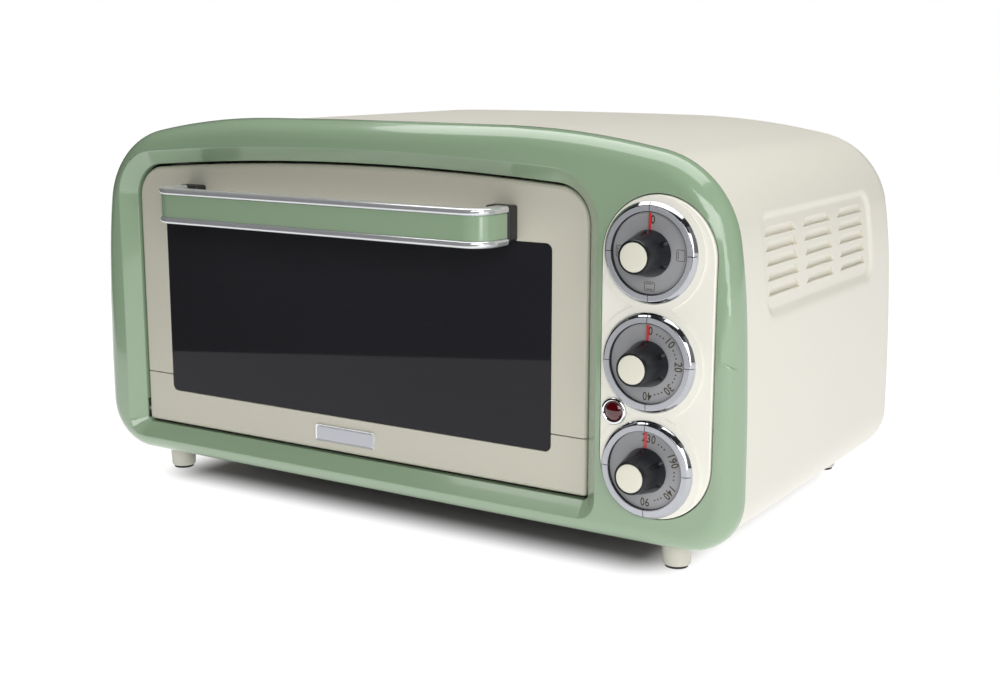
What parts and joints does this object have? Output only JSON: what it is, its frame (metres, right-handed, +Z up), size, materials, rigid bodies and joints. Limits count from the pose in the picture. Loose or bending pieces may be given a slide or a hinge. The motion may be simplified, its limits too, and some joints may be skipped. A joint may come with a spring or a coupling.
{
  "type": "toaster oven",
  "caption": "Countertop toaster oven with a drop-down glass door, bar handle, rotary controls in a side column, side vents and a pull-out wire rack.",
  "frame": {"origin": "on the table, under the centre of the oven's outer box", "axes": "+X to the right as the user faces the door, +Y towards the rear, +Z up"},
  "size_m": [0.4568, 0.3096, 0.2376],
  "materials": {
    "case_cream": "smooth semi-gloss cream enamel",
    "bezel_green": "glossy moulded plastic, soft green",
    "inset_cream": "satin moulded plastic, cream",
    "door_cream": "smooth satin enamel on pressed steel",
    "window_glass": "dark tinted toughened glass",
    "bare_steel": "pressed aluminised sheet",
    "chrome": "bright plated",
    "satin_ring": "satin face with a polished edge",
    "dial_grey": "printed matt grey disc",
    "knob_black": "satin black moulded plastic",
    "cap_cream": "smooth cream disc",
    "needle_red": "printed red",
    "lamp_red": "dark red faceted lens",
    "bracket_black": "moulded black plastic",
    "rubber": "soft pads",
    "foot_cream": "moulded cream plastic",
    "heater_steel": "oxidised heating tube",
    "ceramic": "glazed steatite",
    "tray_enamel": "dark enamelled steel",
    "switch_body": "moulded phenolic case"
  },
  "bodies": {
    "case": {"outer_shell": "case_cream", "front_bezel": "bezel_green", "front_frame": "bare_steel", "control_inset": "inset_cream", "rear_panel": "bare_steel", "base_plate": "bare_steel", "foot_front_left": "foot_cream", "foot_front_right": "foot_cream", "foot_rear_left": "foot_cream", "foot_rear_right": "foot_cream", "foot_pads": "rubber", "cable_gland": "bracket_black", "case_screws": "chrome", "chamber_roof": "bare_steel", "chamber_floor": "bare_steel", "chamber_back": "bare_steel", "chamber_left_wall": "bare_steel", "chamber_right_wall": "bare_steel", "upper_heater": "heater_steel", "lower_heater": "heater_steel", "heater_insulators": "ceramic", "hinge_brackets": "bare_steel", "lamp_ring": "chrome", "lamp_lens": "lamp_red", "lamp_holder": "switch_body", "function_switch": "switch_body", "timer_unit": "switch_body", "thermostat_unit": "switch_body", "function_ring": "satin_ring", "function_dial": "dial_grey", "timer_ring": "satin_ring", "timer_dial": "dial_grey", "thermostat_ring": "satin_ring", "thermostat_dial": "dial_grey"},
    "door": {"door_skin": "door_cream", "door_lower_strip": "door_cream", "door_glass": "window_glass", "door_inner_frame": "bare_steel", "hinge_pins": "bare_steel", "handle_band": "bezel_green", "handle_rail_upper": "chrome", "handle_rail_lower": "chrome", "handle_bracket_left": "bracket_black", "handle_bracket_right": "bracket_black", "door_badge": "chrome", "rack_hooks": "bare_steel"},
    "function_control": {"function_knob": "knob_black", "function_knob_cap": "cap_cream", "function_pointer": "needle_red", "function_shaft": "bare_steel"},
    "timer_control": {"timer_knob": "knob_black", "timer_knob_cap": "cap_cream", "timer_pointer": "needle_red", "timer_shaft": "bare_steel"},
    "thermostat_control": {"thermostat_knob": "knob_black", "thermostat_knob_cap": "cap_cream", "thermostat_pointer": "needle_red", "thermostat_shaft": "bare_steel"},
    "rack": {"wire_rack": "chrome", "baking_tray": "tray_enamel"}
  },
  "joints": [
    {"name": "door_hinge", "type": "hinge", "parent": "case", "child": "door", "pos_m": [-0.0305, -0.1152, 0.041], "axis": [1, 0, 0], "range_deg": [0, 90], "stiffness_Nm_per_rad": 0.35, "springref_deg": -17.19},
    {"name": "function_turn", "type": "hinge", "parent": "case", "child": "function_control", "pos_m": [0.1784, -0.132, 0.1753], "axis": [0, 1, 0], "range_deg": [0, 270]},
    {"name": "timer_turn", "type": "hinge", "parent": "case", "child": "timer_control", "pos_m": [0.1784, -0.132, 0.1176], "axis": [0, 1, 0], "range_deg": [0, 270]},
    {"name": "thermostat_turn", "type": "hinge", "parent": "case", "child": "thermostat_control", "pos_m": [0.1784, -0.132, 0.0602], "axis": [0, 1, 0], "range_deg": [0, 180]},
    {"name": "rack_slide", "type": "slide", "parent": "case", "child": "rack", "axis": [0, -1, 0], "range_m": [0, 0.12]}
  ],
  "couplings": [
    {"joint": "rack_slide", "follows": "door_hinge", "m_per_rad": 0.076}
  ]
}
